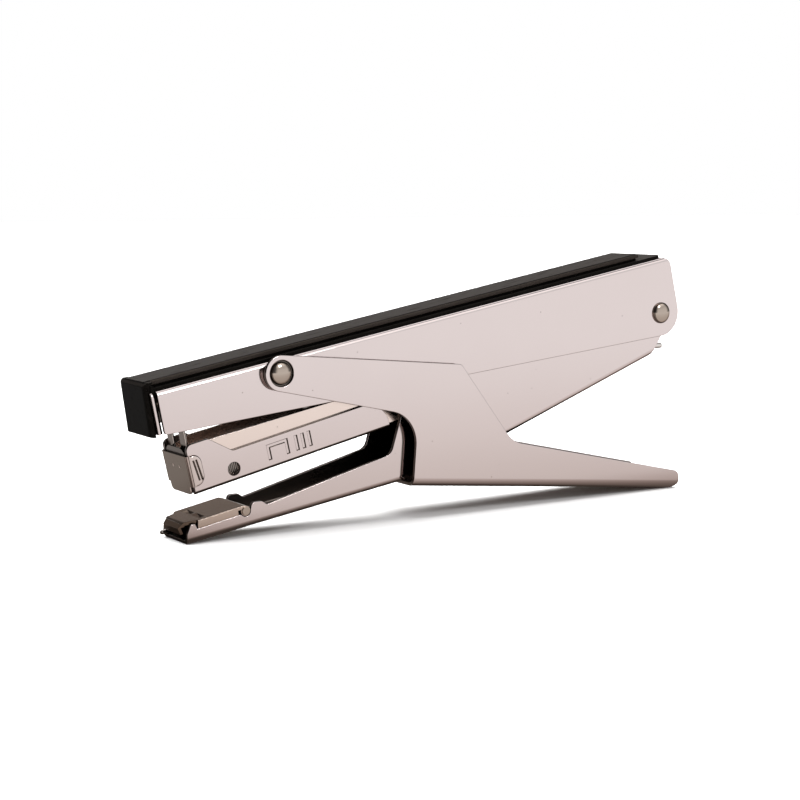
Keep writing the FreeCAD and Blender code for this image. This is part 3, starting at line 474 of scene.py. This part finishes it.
# Rounded edges take the bright edge colour: ground steel, lightened further as a painted highlight.
for face in bm.faces:
    if max(abs(part) for part in face.normal) < square:
        face.material_index = 1
finished(bm, "driver_blade_strip", "upper_arm", "hard_steel", hard, ground_edge_highlight, replaces=["driver_blade"])
solid_piece("driver_clamp", "driver_clamp_blocks", "hard_steel", hard)
solid_piece("driver_rivets", "driver_rivet_pair", "rivet_steel", polished)


# ---- Magazine spring -----------------------------------------------------------------------------
# A blued leaf spring riveted under the arm's top; its free end presses the magazine down.
spring_steel = bright_metal("spring_steel", (0.27, 0.25, 0.245), 0.24, lines=0.8, pits=0.9)


def leaf(node, name, cuts=14):
    """A leaf spring cut across into short lengths, on no body."""
    bm = copied(node)
    soften(bm, 0.08)
    low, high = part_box(node)
    for i in range(1, cuts):
        x = low.x + (high.x - low.x) * i / cuts
        bmesh.ops.bisect_plane(bm, geom=bm.verts[:] + bm.edges[:] + bm.faces[:], plane_co=(x, 0, 0),
                               plane_no=(1, 0, 0))
    piece = finished(bm, name, None, "spring_steel", spring_steel, replaces=[node])
    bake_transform(piece)
    return piece


low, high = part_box("magazine_spring")
leaf("magazine_spring", "magazine_leaf_spring")
solid_piece("magazine_spring_rivet", "magazine_leaf_rivet", "rivet_steel", polished)


# ---- Magazine housing ----------------------------------------------------------------------------
# The short outer U of the magazine, plated like the arms, with an inspection hole and a sunk
# pictogram of the staple it takes: a staple and three gauge ticks.
housing_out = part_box("magazine_housing")[1].y
deepest = 0.4 * MM
bm = copied("magazine_housing")
soften(bm, 0.1)
sheet_faces(bm, 0.9)
# The pictogram's walls take the dark edge colour: a painted shade in the sunk mark.
for face in bm.faces:
    depth = housing_out + face.calc_center_median().y
    if 0.01 * MM < depth < deepest and abs(face.normal.y) < 0.98:
        face.material_index = 2
finished(bm, "magazine_housing_sheet", "magazine", "chrome_plate", chrome, chrome_painted_shade, edge_painted_shade,
         replaces=["magazine_housing"])


# ---- Staple channel and core ---------------------------------------------------------------------
# The long zinc plated U that holds the staples, and the inverted U inside it that they ride on.
solid_piece("staple_channel", "staple_channel_sheet", "zinc_steel",
            bright_metal("channel_plate", (0.89, 0.755, 0.69), 0.14, lines=0.8))
solid_piece("core_rail", "core_rail_sheet", "zinc_steel", zinc_plate, edge=0.06)


# ---- Magazine head -------------------------------------------------------------------------------
# The front plate of nickel plated steel, spot welded, with a tab bent round each side of the housing.
# The tabs' rims are pressed round. Behind it is the hard strip that the driver slides on. The front face
# is painted dark, a painted shade; the tabs keep the bright plating, their rims and grooves painted dark as
# painted shade.
# Dark colour for the plate's front face: a painted shade.
nickel = bright_metal("front_painted_shade_nickel", (0.15, 0.116, 0.09), 0.17, lines=0.6)
tab_plate = bright_metal("tab_plate", (0.72, 0.625, 0.59), 0.13)
head_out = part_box("head_plate")[1].y
groove_bottom = head_out - 0.4 * MM
tab_back = head_out - 0.45 * MM
bm = copied("head_plate")
tab_rim = []
for edge in bm.edges:
    outer = all(head_out - abs(v.co.y) < 0.05 * MM for v in edge.verts)
    walls = [f for f in edge.link_faces if min(abs(v.co.y) for v in f.verts) < groove_bottom]
    if outer and walls and edge.calc_face_angle(0) > 1 and walls[0].normal.x > -0.8:
        tab_rim.append(edge)
bmesh.ops.bevel(bm, geom=tab_rim, affect="EDGES", offset=0.5 * MM, segments=3, profile=0.5,
                material=-1, clamp_overlap=False)
soften(bm, 0.06, angle=40)
# Groove floors and tab rim strips: painted shade; tabs and bends: bright plating.
for face in bm.faces:
    across = abs(face.normal.y)
    out = abs(face.calc_center_median().y)
    groove = across > 0.9 and groove_bottom < out < head_out - 0.1 * MM
    if groove or (across < 0.93 and out > tab_back and face.normal.x > -0.5):
        face.material_index = 2
    elif across > 0.3:
        face.material_index = 1
finished(bm, "head_plate_sheet", "magazine", "nickel_plate", nickel, tab_plate, edge_painted_shade,
         replaces=["head_plate"])
liner_steel = bright_metal("liner_steel", (0.10, 0.085, 0.075), 0.22, lines=0.9)
solid_piece("head_liner", "head_liner_strip", "hard_steel", liner_steel)


# ---- Rear rivets ---------------------------------------------------------------------------------
# Two short studs staked in the channel's ears, with the same domed heads outside the arm. They leave
# the magazine open from end to end for the staples.
def mirrored(bm):
    """Adds the same shape on the other side of the middle plane."""
    bmesh.ops.mirror(bm, geom=bm.verts[:] + bm.edges[:] + bm.faces[:], axis="Y", merge_dist=0)
    bmesh.ops.recalc_face_normals(bm, faces=bm.faces)
    return bm


stud_end = 5.3
rear_seat = 8.65
shank = [(0, stud_end), (shank_r, stud_end), (shank_r, rear_seat)]
stud = turned(shank + rim(3.0, 1.4, rear_seat), middle_of("rear_rivets"))
finished(paint_rim_reflection(mirrored(stud)), "rear_rivet_studs", "magazine", "rivet_steel", polished, painted_rim_reflection,
         replaces=["rear_rivets"])


# ---- Staples -------------------------------------------------------------------------------------
# Eighty fine staples of flat steel wire, glued side by side into a strip. Each is one bent wire.
def bent_wire(radius, start, heading, moves, segments=16, roll=0, round_ends=True):
    """Wire bent as in a jig: moves are ("run", length) or ("bend", degrees, radius, axis)."""
    here, heading = Vector(start), Vector(heading).normalized()
    bm = bmesh.new()
    place = Matrix.Translation(here) @ heading.to_track_quat("Z", "Y").to_matrix().to_4x4()
    place = place @ Matrix.Rotation(math.radians(roll), 4, "Z")
    bmesh.ops.create_circle(bm, segments=segments, radius=radius * MM, matrix=place)
    first = ring = bm.edges[:]

    def pushed(ring, step, size):
        """Extrudes the ring by a step and scales it about its middle."""
        made = bmesh.ops.extrude_edge_only(bm, edges=ring)["geom"]
        verts = [v for v in made if isinstance(v, bmesh.types.BMVert)]
        bmesh.ops.translate(bm, verts=verts, vec=step)
        middle = sum((v.co for v in verts), Vector()) / len(verts)
        bmesh.ops.scale(bm, verts=verts, vec=(size, size, size), space=Matrix.Translation(-middle))
        return [e for e in made if isinstance(e, bmesh.types.BMEdge)
                and all(v in verts for v in e.verts)]

    def closed(ring, towards):
        """Rounds the end if asked, then fills it."""
        if round_ends:
            size = 1.0
            for turn in (30, 60, 82):
                wide = math.cos(math.radians(turn))
                out = math.sin(math.radians(turn)) - math.sin(math.acos(size))
                ring = pushed(ring, towards * out * radius * MM, wide / size)
                size = wide
        bmesh.ops.edgeloop_fill(bm, edges=ring)

    for move in moves:
        if move[0] == "run":
            ring = pushed(ring, heading * move[1] * MM, 1.0)
            here = here + heading * move[1] * MM
            continue
        turn, bend, axis = math.radians(move[1]), move[2] * MM, Vector(move[3])
        centre = here + axis.cross(heading) * math.copysign(bend, turn)
        steps = max(2, round(abs(move[1]) / (45 if segments < 8 else 10)))
        made = bmesh.ops.spin(bm, geom=ring, cent=centre, axis=axis, angle=turn, steps=steps)["geom_last"]
        ring = [e for e in made if isinstance(e, bmesh.types.BMEdge)]
        bent = Matrix.Rotation(turn, 3, axis)
        here = centre + bent @ (here - centre)
        heading = bent @ heading
    closed(ring, heading)
    closed(first, -Vector(place.col[2][:3]))
    bmesh.ops.recalc_face_normals(bm, faces=bm.faces)
    return bm


TILT = math.radians(12.601)
REACH = 148.886
rear_pivot = middle_of("rear_rivets")
from_magazine = Matrix.Translation(rear_pivot) @ Matrix.Rotation(-TILT, 4, "Y")

staples = 80
wire = 0.5
wire_corner = 0.66 * wire
half_crown = 5.15
crown_top = 2.2
legs_bottom = crown_top - 6.5
bend = 0.45
leg_y = half_crown - wire / 2
strip_front = -REACH + 0.67
leg = ("run", crown_top - wire / 2 - bend - legs_bottom)
corner = ("bend", -90, bend, (1, 0, 0))
foot = Vector((strip_front + wire / 2, -leg_y, legs_bottom)) * MM
staple = bent_wire(wire_corner, foot, (0, 0, 1), [leg, corner, ("run", 2 * (leg_y - bend)), corner, leg],
                   segments=4, roll=45, round_ends=False)
one = staple.verts[:] + staple.edges[:] + staple.faces[:]
for i in range(1, staples):
    copy = bmesh.ops.duplicate(staple, geom=one)["geom"]
    bmesh.ops.translate(staple, verts=[v for v in copy if isinstance(v, bmesh.types.BMVert)],
                        vec=(i * wire * MM, 0, 0))
bmesh.ops.transform(staple, matrix=from_magazine, verts=staple.verts)
finished(staple, "staple_stick", "magazine", "staple_wire",
         bright_metal("staple_steel", (0.42, 0.385, 0.36), 0.22, lines=0.9), replaces=["staple_strip"])


# ---- Lever ---------------------------------------------------------------------------------------
# The squeeze lever, a wide U of 1 mm sheet like the arm's, with a dimple round each end of the front
# rivet and a rounded lower edge that fills the hand.
pivot = middle_of("front_rivet")
dimple_r = 3.4 * MM
dimple_floor = 9.0 * MM
cheek_out = 10.3 * MM
bm = copied("lever")
soften(bm, 0.2)
sheet_faces(bm, 1.0)
for face in bm.faces:
    middle = face.calc_center_median()
    # Faces in the dimple round the rivet take the inside colour: a painted shade.
    beside_pivot = (Vector((middle.x, 0, middle.z)) - pivot).length < dimple_r
    if beside_pivot and dimple_floor < abs(middle.y) < cheek_out:
        face.material_index = 1
finished(bm, "lever_sheet", "lever", "chrome_plate", chrome, chrome_painted_shade, edge_painted_shade, replaces=["lever"])


# ---- Anvil arm and plate -------------------------------------------------------------------------
# The lower jaw: a narrow U up to the rear pivot, and the hardened forming plate on its foot, whose rear
# edge is rolled round a pin. The plate's top and the bends to its flanges are painted dark, a painted shade,
# the small facets in its grooves darker still as painted shade; its flanges keep a bright plating.
pressed_sheet("anvil_arm", "anvil_arm", edge=0.12)
flange_y = 6.75 * MM
groove_end_y = 6 * MM
groove_facet = 0.6 * MM * MM
bm = copied("anvil_plate")
soften(bm, 0.1)
# Flanges keep bright plating; groove facets and the rest of the top are painted shade.
for face in bm.faces:
    middle = face.calc_center_median()
    if abs(middle.y) > flange_y and abs(face.normal.y) > 0.9:
        face.material_index = 1
    elif abs(middle.y) < groove_end_y and face.normal.z > 0.5 and face.calc_area() < groove_facet:
        face.material_index = 2
finished(bm, "anvil_plate_sheet", "anvil_arm", "nickel_plate",
         bright_metal("anvil_top_painted_shade", (0.17, 0.125, 0.095), 0.17, lines=0.8, pits=1.0),
         bright_metal("flange_plate", (0.60, 0.49, 0.42), 0.16), edge_painted_shade, replaces=["anvil_plate"])
solid_piece("anvil_pin", "anvil_hinge_pin", "rivet_steel", polished)


# ---- Anvil lock spring ---------------------------------------------------------------------------
# A bright wire spring that lies in the foot; its rounded end shows under the plate's folded nose.
bright_wire = bright_metal("bright_wire", (0.78, 0.73, 0.70), 0.09, lines=0.2)
low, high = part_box("anvil_lock_spring")
lock_r = 0.6
lock_bend = 1.6
along = Vector((high.x - low.x - 2 * lock_r * MM, 0, high.z - low.z - 2 * lock_r * MM))
turn_axis = along.normalized().cross(Vector((0, 1, 0)))
lock_end = Vector((low.x, high.y, low.z)) + Vector((lock_r, -lock_r, lock_r)) * MM
lock = bent_wire(lock_r, lock_end, along,
                 [("run", along.length / MM - lock_bend), ("bend", -90, lock_bend, turn_axis),
                  ("run", (high.y - low.y) / MM - 2 * lock_r - lock_bend)])
finished(lock, "anvil_lock_wire", "anvil_arm", "spring_steel", bright_wire,
         replaces=["anvil_lock_spring"])


# ---- Jaw spring ----------------------------------------------------------------------------------
# The leaf spring that opens the jaw: riveted on the anvil arm's floor, its free end under the magazine.
low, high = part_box("jaw_spring")
leaf("jaw_spring", "jaw_leaf_spring")
solid_piece("jaw_spring_rivet", "jaw_leaf_rivet", "rivet_steel", polished)


# ---- Loader --------------------------------------------------------------------------------------
# What draws out of the rear for a new strip of staples: the guide rod with its stop, the black plug,
# and the finger hook, a wire bent down behind the anvil arm and back.
channel_floor = -4.5
core_sheet = 0.6
rod_height = (channel_floor + crown_top - wire - core_sheet) / 2
rod_front = Vector((-REACH + 14.9, 0, rod_height)) * MM
rod_length = 129.486
rod_r = 1.0
rod_end_r = 0.75
chamfer = 0.3
rod = turned([(0, 0), (rod_end_r, 0), (rod_r, chamfer), (rod_r, rod_length - chamfer),
              (rod_end_r, rod_length), (0, rod_length)], rod_front, axis=(1, 0, 0), steps=24)
bmesh.ops.transform(rod, matrix=from_magazine, verts=rod.verts)
finished(rod, "guide_rod_steel", "loader", "zinc_steel", zinc_plate, replaces=["guide_rod"])
solid_piece("rod_stop", "rod_stop_collar", "zinc_steel", zinc_plate, edge=0.1)
solid_piece("rear_plug", "rear_plug_block", "black_plastic", black, edge=0.15)

hook_r = 0.8
hook_bend = 1.4
in_plug = rear_pivot + Vector((-3.426, 0, -1.176)) * MM
hook = bent_wire(hook_r, in_plug, (math.cos(TILT), 0, math.sin(TILT)),
                 [("run", 5.657), ("bend", 102.6, hook_bend, (0, 1, 0)), ("run", 7.543),
                  ("bend", -90, hook_bend, (0, 1, 0)), ("run", 2.1)])
finished(hook, "finger_hook_wire", "loader", "rivet_steel", bright_wire, replaces=["finger_hook"])


# ---- Follower ------------------------------------------------------------------------------------
# The zinc plated saddle that pushes the staples forward along the core, and its coil spring on the
# guide rod, between the saddle and the plug.
solid_piece("follower", "follower_saddle", "zinc_steel", zinc_plate, edge=0.1)

low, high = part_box("follower_spring")
coil_wire_r = 0.3
coil_r = (high.y - low.y) / 2 / MM - coil_wire_r
coil_start = -REACH + 50.82
coil_end = -9.55
turns = 30
round_steps = 14
pitch_step = (coil_end - coil_start - 2 * coil_wire_r) / (turns * round_steps)
coil = bmesh.new()
ring_place = Matrix.Translation(Vector((coil_start + coil_wire_r, 0, rod_height + coil_r)) * MM)
bmesh.ops.create_circle(coil, segments=8, radius=coil_wire_r * MM,
                        matrix=ring_place @ Matrix.Rotation(math.radians(90), 4, "X"))
first = coil.edges[:]
last = bmesh.ops.spin(coil, geom=first, cent=Vector((0, 0, rod_height)) * MM, axis=(1, 0, 0),
                      angle=turns * math.tau, steps=turns * round_steps,
                      dvec=(pitch_step * MM, 0, 0))["geom_last"]
bmesh.ops.edgeloop_fill(coil, edges=first)
bmesh.ops.edgeloop_fill(coil, edges=[e for e in last if isinstance(e, bmesh.types.BMEdge)])
bmesh.ops.recalc_face_normals(coil, faces=coil.faces)
bmesh.ops.transform(coil, matrix=from_magazine, verts=coil.verts)
piece = finished(coil, "follower_coil", None, "spring_steel", spring_steel, replaces=["follower_spring"])
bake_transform(piece)


# ---- Studio --------------------------------------------------------------------------------------
# A pale floor under soft light. Bright metal mirrors the room, so the room is set up as on a product
# table: a bright horizon with dark flags at both ends, a dim band above it, a wide light overhead.
def ramp(nodes, stops):
    """Colour ramp with the given (position, colour) stops."""
    node = nodes.new("ShaderNodeValToRGB")
    elements = node.color_ramp.elements
    while len(elements) < len(stops):
        elements.new(0.5)
    for element, (at, color) in zip(elements, stops):
        element.position = at
        element.color = (*color, 1)
    return node


def grey(level):
    """A neutral colour."""
    return (level, level, level)


def flag(nodes, link, vector):
    """Dims what lies on the left of the table, and a little at its right end."""
    flat = nodes.new("ShaderNodeVectorMath")
    flat.operation = "MULTIPLY"
    flat.inputs[1].default_value = (1, 1, 0)
    link(vector, flat.inputs[0])
    unit = nodes.new("ShaderNodeVectorMath")
    unit.operation = "NORMALIZE"
    link(flat.outputs["Vector"], unit.inputs[0])
    parts = nodes.new("ShaderNodeSeparateXYZ")
    link(unit.outputs["Vector"], parts.inputs["Vector"])
    level = nodes.new("ShaderNodeMapRange")
    level.inputs["From Min"].default_value = -1.0
    link(parts.outputs["X"], level.inputs["Value"])
    dim = ramp(nodes, [(0.0, grey(0.10)), (0.24, grey(0.11)), (0.46, grey(1.0)), (0.93, grey(1.0)),
                       (1.0, grey(0.15))])
    link(level.outputs["Result"], dim.inputs["Fac"])
    return dim.outputs["Color"]


def times(nodes, link, first, second):
    """One colour multiplied by another."""
    product = nodes.new("ShaderNodeMix")
    product.data_type = "RGBA"
    product.blend_type = "MULTIPLY"
    product.inputs["Factor"].default_value = 1.0
    link(first, product.inputs["A"])
    link(second, product.inputs["B"])
    return product.outputs["Result"]


bpy.ops.mesh.primitive_plane_add(size=8, location=(0, 0, 0))
floor = bpy.context.object
floor.name = "floor"
floor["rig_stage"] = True
paper = bpy.data.materials.new("floor_paper")
paper.use_nodes = True
nodes, link = paper.node_tree.nodes, paper.node_tree.links.new
shader = nodes["Principled BSDF"]
shader.inputs["Base Color"].default_value = (0.9, 0.9, 0.9, 1)
shader.inputs["Roughness"].default_value = 0.9
# Glossy rays that hit the floor see a painted tone instead of the lit floor: a painted reflection, dark
# right beside the object as painted shade, paler further out.
place = nodes.new("ShaderNodeTexCoord")
parts = nodes.new("ShaderNodeSeparateXYZ")
link(place.outputs["Object"], parts.inputs["Vector"])
sideways = nodes.new("ShaderNodeMath")
sideways.operation = "ABSOLUTE"
link(parts.outputs["Y"], sideways.inputs[0])
reflected_floor_shade = ramp(nodes, [(0.008, (0.05, 0.04, 0.033)), (0.0125, (0.27, 0.22, 0.195)), (0.022, (0.52, 0.46, 0.43)),
                    (0.04, (0.73, 0.685, 0.66)), (0.13, (0.85, 0.82, 0.805)), (0.25, (0.93, 0.92, 0.915)),
                    (0.4, (0.97, 0.97, 0.97))])
link(sideways.outputs["Value"], reflected_floor_shade.inputs["Fac"])
mirrored = nodes.new("ShaderNodeEmission")
link(reflected_floor_shade.outputs["Color"], mirrored.inputs["Color"])
path = nodes.new("ShaderNodeLightPath")
either = nodes.new("ShaderNodeMixShader")
link(path.outputs["Is Glossy Ray"], either.inputs["Fac"])
link(shader.outputs["BSDF"], either.inputs[1])
link(mirrored.outputs["Emission"], either.inputs[2])
link(either.outputs["Shader"], nodes["Material Output"].inputs["Surface"])
floor.data.materials.append(paper)

studio = bpy.data.worlds.new("studio")
bpy.context.scene.world = studio
studio.use_nodes = True
nodes, link = studio.node_tree.nodes, studio.node_tree.links.new
direction = nodes.new("ShaderNodeTexCoord")
parts = nodes.new("ShaderNodeSeparateXYZ")
link(direction.outputs["Generated"], parts.inputs["Vector"])
front_sky = ramp(nodes, [(0.0, grey(0.97)), (0.25, grey(0.90)), (0.45, grey(0.72)), (0.7, grey(1.25))])
back_sky = ramp(nodes, [(0.0, grey(0.97)), (0.15, grey(0.97)), (0.26, (0.40, 0.335, 0.295)),
                        (0.58, (0.27, 0.235, 0.215)), (0.74, grey(1.25))])
link(parts.outputs["Z"], front_sky.inputs["Fac"])
link(parts.outputs["Z"], back_sky.inputs["Fac"])
side = nodes.new("ShaderNodeMapRange")
side.inputs["From Min"].default_value = -0.35
side.inputs["From Max"].default_value = 0.35
link(parts.outputs["Y"], side.inputs["Value"])
sky = nodes.new("ShaderNodeMix")
sky.data_type = "RGBA"
link(side.outputs["Result"], sky.inputs["Factor"])
link(front_sky.outputs["Color"], sky.inputs["A"])
link(back_sky.outputs["Color"], sky.inputs["B"])
seen = nodes.new("ShaderNodeMix")
seen.data_type = "RGBA"
seen.inputs["B"].default_value = (1, 1, 1, 1)
path = nodes.new("ShaderNodeLightPath")
link(path.outputs["Is Camera Ray"], seen.inputs["Factor"])
link(times(nodes, link, sky.outputs["Result"], flag(nodes, link, direction.outputs["Generated"])),
     seen.inputs["A"])
link(seen.outputs["Result"], nodes["Background"].inputs["Color"])
nodes["Background"].inputs["Strength"].default_value = 1.0

sun = bpy.data.lights.new("soft_daylight", "SUN")
sun.energy = 7.0
sun.angle = math.radians(70)
lamp = bpy.data.objects.new("soft_daylight", sun)
bpy.context.scene.collection.objects.link(lamp)
lamp.rotation_euler = Vector((0.15, -0.35, -1.0)).to_track_quat("-Z", "Y").to_euler()
lamp.visible_glossy = False
box = bpy.data.lights.new("key", "AREA")
box.size = 0.25
box.energy = 1.7
lamp = bpy.data.objects.new("key", box)
bpy.context.scene.collection.objects.link(lamp)
lamp.location = (0.1, -0.6, 0.62)
lamp.rotation_euler = (-lamp.location).to_track_quat("-Z", "Y").to_euler()

camera = bpy.data.cameras.new("camera")
camera.lens = 76.5
camera.sensor_width = 36
viewer = bpy.data.objects.new("camera", camera)
bpy.context.scene.collection.objects.link(viewer)
viewer.location = Vector((-247.63, -371.85, 84.61)) * MM
target = Vector((-7.136, 0, 30.199)) * MM
viewer.rotation_euler = (target - viewer.location).to_track_quat("-Z", "Y").to_euler()
bpy.context.scene.camera = viewer
bpy.context.scene.view_settings.view_transform = "Standard"

low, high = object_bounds()
